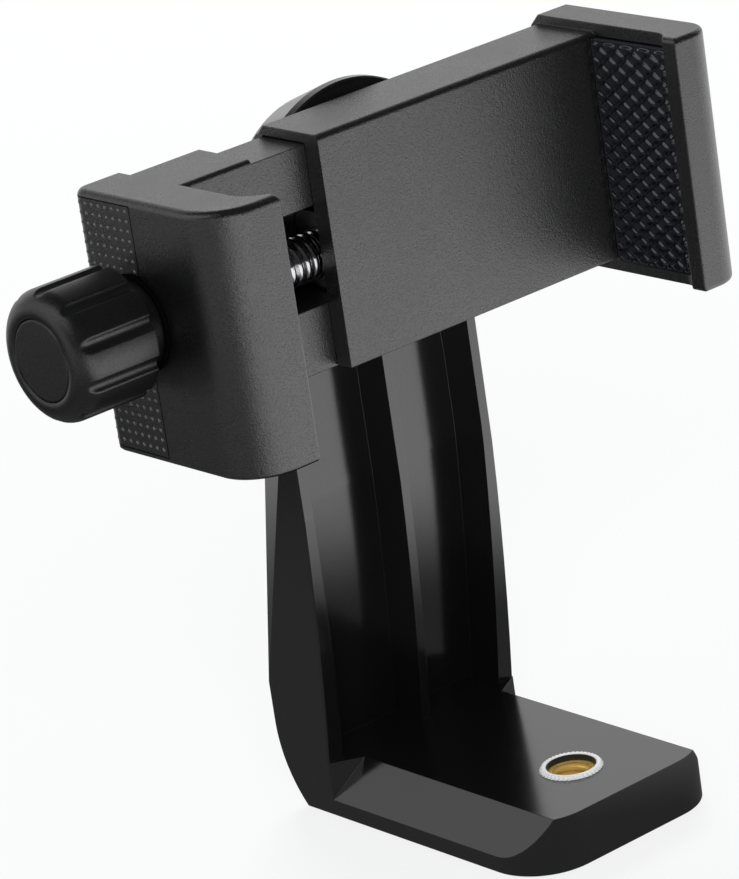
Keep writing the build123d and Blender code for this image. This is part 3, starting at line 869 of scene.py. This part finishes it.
@dataclass
class SlidingJaw(SubAssembly):
    """The moving jaw with its pad, its clip and the stippled panel on its outer face."""

    pad_face: float = -33.25 * MM
    pad_back: float = -35.35 * MM
    pad_low: Pair = (7.64 * MM, 62.02 * MM)
    pad_high: Pair = (15.65 * MM, 92.42 * MM)
    outer: float = -41.43 * MM
    corner_start: float = 27.7 * MM
    corner_radius: float = 2.0 * MM
    panel_low: Pair = (18.3 * MM, 60.95 * MM)
    panel_high: Pair = (29.0 * MM, 93.4 * MM)
    groove_width: float = 0.17 * MM
    groove_height: float = 0.02 * MM
    groove_sink: float = 0.03 * MM
    groove_top: float = 0.8
    groove_steps: int = 24
    dot_first: Pair = (19.11 * MM, 61.96 * MM)
    dot_pitch: Pair = (1.32 * MM, 1.28 * MM)
    dot_count: tuple[int, int] = (8, 25)
    dot_radius: float = 0.27 * MM
    dot_height: float = 0.16 * MM
    dot_sink: float = 0.02 * MM
    dot_rings: int = 4
    dot_sides: int = 10
    screw_place: Pair = (20.1 * MM, 78.3 * MM)
    washer_clear: float = 6.75 * MM

    def dress(self) -> None:
        """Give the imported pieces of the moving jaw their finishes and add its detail."""
        looks, body, slot = self.finishes, Body.JAW, "sliding_jaw"
        self.paint(looks.plastic, "sliding_jaw")
        self.paint(looks.steel, "retaining_clip")
        pad = BumpyPad(self.pad_face, self.pad_back, self.pad_low, self.pad_high).surface()
        piece = make_piece(
            "sliding_pad_bumps", pad, body, looks.pad, sharp=60.0
        )
        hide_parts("sliding_jaw_pad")
        # the domes take the lighter finish that paints their highlight
        make_piece("panel_dots", self.dots(), body, looks.dot_plastic, sharp=60.0)
        # the border line is a raised strip of painted shade
        make_piece("panel_groove", self.groove(), body, looks.groove)

    def face_at(self, across: np.ndarray) -> tuple[np.ndarray, np.ndarray, np.ndarray]:
        """The jaw's outer face, flat up to the back corner and then a quarter circle.

        Args:
            across: places along Y.

        Returns:
            The face's X at each place, and the X and the Y of its outward normal.
        """
        past = np.clip(across - self.corner_start, 0.0, self.corner_radius)
        sine = past / self.corner_radius
        cosine = np.sqrt(1 - sine**2)
        x = self.outer + self.corner_radius * (1 - cosine)
        return x, -cosine, sine

    def dots(self) -> Surface:
        """A square grid of small domes, left out where the washer under the knob stands.

        One dome is a cap of rings whose radius is the dot's times the cosine and whose height
        is the dot's times the sine of a turn from 0 to a quarter. Each is set on the face and
        turned to its normal, with a little of its foot sunk in.

        Returns:
            All the domes as one surface.
        """
        rise = np.linspace(0.0, math.pi / 2, self.dot_rings)
        lift = self.dot_height * np.sin(np.concatenate([[0.0], rise])) - self.dot_sink
        spread = np.concatenate([[0.0], np.cos(rise)]) * self.dot_radius
        dome = profile_surface(np.stack([lift, spread], -1), self.dot_sides, "Z")
        one, two, high = dome.points.T
        columns = self.dot_first[0] + self.dot_pitch[0] * np.arange(self.dot_count[0])
        rows = self.dot_first[1] + self.dot_pitch[1] * np.arange(self.dot_count[1])
        y, z = (grid.ravel() for grid in np.meshgrid(columns, rows, indexing="ij"))
        away = np.hypot(y - self.screw_place[0], z - self.screw_place[1])
        y, z = y[away > self.washer_clear], z[away > self.washer_clear]
        x, normal_x, normal_y = self.face_at(y)
        points = np.empty((len(y), len(one), 3))
        points[:, :, 0] = x[:, None] + normal_x[:, None] * high + normal_y[:, None] * one
        points[:, :, 1] = y[:, None] + normal_y[:, None] * high - normal_x[:, None] * one
        points[:, :, 2] = z[:, None] + two
        start = np.arange(len(y))[:, None, None] * len(one)
        return Surface(points.reshape(-1, 3), (dome.faces[None] + start).reshape(-1, 4))

    def groove(self) -> Surface:
        """The panel's border groove as a thin strip of painted shade, carried round its rectangle.

        The strip's section is a low trapezium: a foot sunk in the face, the top's two edges
        and the other foot. Each of its lines is the panel's rectangle, let out by the line's
        reach and set on the face at the line's height.

        Returns:
            The strip's surface.
        """
        low, high = np.array(self.panel_low), np.array(self.panel_high)
        ramp = np.linspace(0.0, 1.0, self.groove_steps)
        none, full = np.zeros_like(ramp), np.ones_like(ramp)
        sides = [(ramp, none), (full, ramp), (1 - ramp, full), (none, 1 - ramp)]
        path = np.vstack([np.stack(side, -1)[:-1] for side in sides])
        foot = (self.groove_width / 2, -self.groove_sink)
        top = (self.groove_width / 2 * self.groove_top, self.groove_height)
        section = [foot, top, (-top[0], top[1]), (-foot[0], foot[1]), foot]
        rows = []
        for reach, height in section:
            y, z = (low - reach + path * (high - low + 2 * reach)).T
            x, normal_x, normal_y = self.face_at(y)
            rows.append(np.stack([x + normal_x * height, y + normal_y * height, z], -1))
        return Surface(np.vstack(rows), grid_faces(len(rows), len(path), wrap=True))


@dataclass
class KnobDrive(SubAssembly):
    """The fluted knob, its cap and the chromed screw."""

    screw_y: float = 20.1 * MM
    screw_z: float = 78.3 * MM
    screw_start: float = -53.0 * MM
    thread_start: float = -35.6 * MM
    screw_end: float = 20.5 * MM
    groove: Pair = (-37.45 * MM, -36.05 * MM)
    groove_radius: float = 2.3 * MM
    crest: float = 3.15 * MM
    root: float = 2.62 * MM
    pitch: float = 1.27 * MM
    knob_end: float = -56.4 * MM
    grip_base: float = -45.0 * MM
    knob_base: float = -42.03 * MM
    hub_radius: float = 5.8 * MM
    grip_radius: float = 8.5 * MM
    end_radius: float = 2.5 * MM
    end_steps: int = 12
    recess_radius: float = 5.32 * MM
    recess_floor: float = -55.4 * MM
    recess_lip: float = 0.1 * MM
    flute_radius: float = 1.0 * MM
    flute_depth: float = 0.55 * MM
    flutes: int = 10
    flute_steps: int = 40
    base_steps: int = 5
    screw_steps: int = 64

    def dress(self) -> None:
        """Give the cap and the washer their finish and put the knob and the screw in."""
        looks, body = self.finishes, Body.KNOB
        self.paint(looks.knob_plastic, "knob_cap")
        # the thrust washer takes the near-black finish of painted shade, keeping the gap behind
        # the knob dark
        self.paint(looks.groove, "thrust_washer")
        place = (0.0, self.screw_y, self.screw_z)
        grip = self.knob().moved(place)
        knob = make_piece("fluted_knob", grip, body, looks.knob_plastic, sharp=50.0)
        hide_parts("knob")
        rod = self.screw().moved(place)
        screw = make_piece("threaded_screw", rod, body, looks.chrome, sharp=30.0)
        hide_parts("clamp_screw")

    def knob(self) -> Surface:
        """The knob as one turned surface with ten round flutes pressed into its grip.

        The profile gives a radius at each place along the axis. Near a flute's middle the
        radius is no more than the flute's near wall: the distance to the flute's centre times
        the cosine of the turn from it, less the root of the flute's radius squared minus the
        distance times the sine, squared. On the flat base the rows share out the way between
        the hub and that radius.

        Returns:
            The knob's surface, about the X axis.
        """
        columns = self.flutes * self.flute_steps
        turn = (np.arange(columns) / self.flute_steps) % 1.0 - 0.5
        angle = turn * 2 * math.pi / self.flutes
        reach = self.grip_radius + self.flute_radius - self.flute_depth
        root = self.flute_radius**2 - (reach * np.sin(angle)) ** 2
        wall = reach * np.cos(angle) - np.sqrt(np.clip(root, 0.0, None))
        limit = np.where(root > 0, wall, np.inf)
        grip = np.minimum(self.grip_radius, limit)
        arc = np.radians(np.linspace(0.0, 90.0, self.end_steps + 1))
        rounded = np.stack(
            [
                self.knob_end + self.end_radius * (1 - np.sin(arc)),
                self.grip_radius - self.end_radius * (1 - np.cos(arc)),
            ],
            -1,
        )
        recess = [
            (self.knob_end, self.recess_radius + self.recess_lip),
            (self.knob_end + self.recess_lip, self.recess_radius),
            (self.recess_floor, self.recess_radius),
            (self.recess_floor, 0.0),
        ]
        hub = [
            (self.knob_base, 0.0),
            (self.knob_base, self.hub_radius),
            (self.grip_base, self.hub_radius),
        ]
        along, radius = repeated(np.vstack([hub, rounded, recess]), columns)
        radius = np.minimum(radius, limit)
        share = np.linspace(0.0, 1.0, self.base_steps + 1)[1:, None]
        base = self.hub_radius + share * (grip - self.hub_radius)
        at_base = np.full_like(base, self.grip_base)
        along = np.vstack([along[: len(hub)], at_base, along[len(hub) :]])
        radius = np.vstack([radius[: len(hub)], base, radius[len(hub) :]])
        return turned_surface(along, radius)

    def screw(self) -> Surface:
        """The screw: a plain shank with the clip's groove, then the thread to its tip.

        Returns:
            The screw's surface, about the X axis.
        """
        left, right = self.groove
        profile = np.array(
            [
                (self.screw_start, 0.0),
                (self.screw_start, self.crest),
                (left, self.crest),
                (left, self.groove_radius),
                (right, self.groove_radius),
                (right, self.crest),
                (self.thread_start, self.crest),
                (self.thread_start, 0.0),
            ]
        )
        depths = (self.root, self.crest)
        start, end = self.thread_start, self.screw_end
        thread = thread_surface(start, end, self.pitch, depths, columns=self.screw_steps)
        return profile_surface(profile, self.screw_steps).joined(thread)


# Studio


@dataclass(frozen=True)
class Patch:
    """A bright or dim part of the studio, as gloss sees it.

    Args:
        way: the direction that it lies in.
        low: where it begins along that way, as a cosine in the world or metres on the floor.
        high: where it has its full strength.
        gain: the brightness that it adds there, or takes away if it is below zero.
        within: another patch, outside which this one has no strength.
    """

    way: Triple
    low: float
    high: float
    gain: float = 1.0
    within: "Patch | None" = None

    def strength(self, tree: Tree, place: Socket) -> Socket:
        """How strong the patch is at a place, from 0 to 1.

        Args:
            tree: the node tree that it is added to.
            place: the socket that gives the place or the direction.

        Returns:
            The strength's socket.
        """
        own = toward(tree, place, self.way, self.low, self.high)
        if self.within is None:
            return own
        return compute(tree, "MULTIPLY", own, self.within.strength(tree, place))


BELOW_OVERHEAD = Patch((0.0, 0.0, -1.0), -0.75, -0.45)
BACKDROP = Patch((0.614, 0.789, 0.0), 0.35, 0.8, 1.06, BELOW_OVERHEAD)
BACK_CARD = Patch((-0.75, 0.57, 0.335), 0.9, 0.95, 0.75)
LEFT_CARD = Patch((-0.757, 0.04, 0.652), 0.93, 0.97, 0.9)
FLOOR_FRONT = Patch((0.58, -0.81, 0.0), 0.015, 0.07, 1.06)
FLOOR_LEFT = Patch((-1.0, 0.0, 0.0), 0.25, 0.28, 0.35)
FLOOR_FAR = Patch((-0.67, 0.74, 0.0), 0.12, 0.2, -0.07)
FLOOR_RIGHT = Patch((1.0, 0.0, 0.0), 0.17, 0.23, -0.6, FLOOR_FRONT)
FLOOR_BEHIND = Patch((0.8, 0.6, 0.0), 0.06, 0.16, 0.6)


@dataclass
class Studio:
    """The floor, the lamps, the world and the camera at the photo's viewing angle.

    Black glossy plastic shows little but its mirrored surroundings, so those are laid out
    by themselves: gloss sees a dark room with a bright backdrop, two cards and a floor of
    bright and dim parts, and it doesn't see the lamps.
    """

    camera_place: Triple = (-0.3619, -0.4329, 0.2540)
    azimuth: float = -37.93
    elevation: float = 19.38
    roll: float = -8.58
    focal_pixels: float = 4780.86
    long_side: float = 879.0
    sensor: float = 36.0
    clip: Pair = (0.01, 10.0)
    aim: Triple = (0.0, 0.01, 0.055)
    lamp_size: float = 0.5
    sky: Triple = (0.92, 0.96, 1.0)
    sky_strength: float = 0.45
    room_patches: tuple[Patch, ...] = (BACKDROP, BACK_CARD, LEFT_CARD)
    room_dark: float = 0.04
    floor_patches: tuple[Patch, ...] = (
        FLOOR_FRONT, FLOOR_LEFT, FLOOR_FAR, FLOOR_RIGHT, FLOOR_BEHIND
    )
    floor_dark: float = 0.12
    floor_bright: float = 1.2
    floor_white: float = 0.8
    floor_grey: float = 0.85
    floor_roughness: float = 0.9
    floor_reach: float = 3.0
    floor_drop: float = 0.1 * MM

    def camera(self) -> None:
        """Place the camera from its azimuth, elevation and roll.

        Its Z axis is (sin a cos e, -cos a cos e, sin e), its X axis (cos a, sin a, 0), and
        both cross axes are then turned by the roll.
        """
        turn, lift, roll = map(math.radians, (self.azimuth, self.elevation, self.roll))
        level = Vector((math.sin(turn), -math.cos(turn), 0.0))
        back = level * math.cos(lift) + Vector((0.0, 0.0, math.sin(lift)))
        right = Vector((math.cos(turn), math.sin(turn), 0.0))
        up = back.cross(right)
        if up.z < 0:
            up.negate()
        side = right * math.cos(roll) + up * math.sin(roll)
        top = up * math.cos(roll) - right * math.sin(roll)
        basis = Matrix((side, top, back)).transposed().to_4x4()
        basis.translation = Vector(self.camera_place)
        data = bpy.data.cameras.new("photo_camera")
        data.sensor_width = self.sensor
        data.lens = self.focal_pixels / self.long_side * self.sensor
        data.clip_start, data.clip_end = self.clip
        camera = bpy.data.objects.new("photo_camera", data)
        camera.matrix_world = basis
        bpy.context.scene.collection.objects.link(camera)
        bpy.context.scene.camera = camera

    def lamp(self, name: str, place: Triple, power: float) -> None:
        """A square area lamp that faces the adapter and that gloss doesn't show.

        Args:
            name: the lamp's name.
            place: where it hangs.
            power: its power in watts.
        """
        data = bpy.data.lights.new(name, "AREA")
        data.shape = "SQUARE"
        data.size = self.lamp_size
        data.energy = power
        lamp = bpy.data.objects.new(name, data)
        lamp.visible_glossy = False
        away = Vector(place) - Vector(self.aim)
        facing = away.to_track_quat("Z", "Y").to_matrix().to_4x4()
        lamp.matrix_world = Matrix.Translation(Vector(place)) @ facing
        bpy.context.scene.collection.objects.link(lamp)

    @staticmethod
    def mirrored(
        tree: Tree, coordinate: str, dark: float, patches: tuple[Patch, ...]
    ) -> Source:
        """The brightness that gloss sees: the dark one plus each patch's gain times strength.

        Args:
            tree: the node tree that it is added to.
            coordinate: the texture coordinate that gives the direction or the place.
            dark: the brightness away from all patches.
            patches: the bright and the dim parts.

        Returns:
            The brightness.
        """
        place = add(tree, "ShaderNodeTexCoord").outputs[coordinate]
        bright = dark
        for patch in patches:
            bright = compute(
                tree, "MULTIPLY_ADD", patch.strength(tree, place), patch.gain, bright
            )
        return bright

    @staticmethod
    def whiten(
        tree: Tree, lit: Node, white: Node, output: Node, mirrored: Source, held: float
    ) -> None:
        """Let some rays see a white studio in place of a lit shader.

        The camera and clear glass see white at full brightness, and gloss at its own.

        Args:
            tree: the node tree that holds the shaders.
            lit: the shader for all other rays.
            white: the shader that is seen as white.
            output: the tree's output node.
            mirrored: the brightness that gloss sees.
            held: the share of white that the camera sees, where the rest is the lit shader.
        """
        path = add(tree, "ShaderNodeLightPath")
        glossy, clear = path.outputs["Is Glossy Ray"], path.outputs["Is Transmission Ray"]
        plain = compute(tree, "MAXIMUM", path.outputs["Is Camera Ray"], clear)
        share = compute(tree, "MAXIMUM", compute(tree, "MULTIPLY", plain, held), glossy)
        dimming = compute(tree, "MULTIPLY", glossy, compute(tree, "SUBTRACT", 1.0, mirrored))
        feed(tree, white.inputs["Strength"], compute(tree, "SUBTRACT", 1.0, dimming))
        mix = add(tree, "ShaderNodeMixShader")
        feed(tree, mix.inputs["Fac"], share)
        tree.links.new(lit.outputs[0], mix.inputs[1])
        tree.links.new(white.outputs[0], mix.inputs[2])
        tree.links.new(mix.outputs[0], output.inputs["Surface"])

    def world(self) -> None:
        """A soft grey world that the camera sees as white.

        Gloss sees a bright backdrop at the back right that ends below the dark overhead, a
        card at the back left, a card at the upper left and a dark room between them.
        """
        world = bpy.data.worlds.new("studio_world")
        bpy.context.scene.world = world
        world.use_nodes = True
        tree = world.node_tree
        tree.nodes.clear()
        mirrored = self.mirrored(tree, "Generated", self.room_dark, self.room_patches)
        soft = add(tree, "ShaderNodeBackground")
        soft.inputs["Color"].default_value = (*self.sky, 1.0)
        soft.inputs["Strength"].default_value = self.sky_strength
        white = add(tree, "ShaderNodeBackground")
        self.whiten(tree, soft, white, add(tree, "ShaderNodeOutputWorld"), mirrored, 1.0)

    def floor(self) -> None:
        """A pale floor that the camera sees as near white with the object's shadow.

        Gloss sees it bright in front of the adapter, dimmer there towards the right, bright
        again behind its right, dim at the back left and lighter far out at the left.
        """
        reach = self.floor_reach
        corners = [(-reach, -reach), (reach, -reach), (reach, reach), (-reach, reach)]
        mesh = bpy.data.meshes.new("studio_floor")
        mesh.from_pydata([(x, y, -self.floor_drop) for x, y in corners], [], [(0, 1, 2, 3)])
        material = bpy.data.materials.new("studio_floor")
        material.use_nodes = True
        tree = material.node_tree
        shader = tree.nodes["Principled BSDF"]
        shader.inputs["Base Color"].default_value = (*[self.floor_grey] * 3, 1.0)
        shader.inputs["Roughness"].default_value = self.floor_roughness
        mirrored = self.mirrored(tree, "Object", self.floor_dark, self.floor_patches)
        mirrored = compute(tree, "MINIMUM", mirrored, self.floor_bright)
        glow, output = add(tree, "ShaderNodeEmission"), tree.nodes["Material Output"]
        self.whiten(tree, shader, glow, output, mirrored, self.floor_white)
        mesh.materials.append(material)
        floor = bpy.data.objects.new("studio_floor", mesh)
        bpy.context.scene.collection.objects.link(floor)

    def build(self) -> None:
        """Set the camera, the lamps, the world and the floor."""
        bpy.context.scene.view_settings.view_transform = "Standard"
        self.camera()
        self.lamp("back_light", place=(0.54, 0.65, 0.85), power=8.0)
        self.lamp("camera_side_light", place=(-0.6, -0.75, 0.6), power=6.0)
        self.world()
        self.floor()


def main() -> None:
    """Build the adapter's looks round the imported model, piece by piece."""
    logging.basicConfig(level=logging.INFO, format="%(name)s: %(message)s")
    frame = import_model()
    finishes = Finishes()
    for part in (Bracket, Clamp, SlidingJaw, KnobDrive):
        part(frame, finishes).dress()
    Studio().build()


if __name__ == "__main__":
    main()
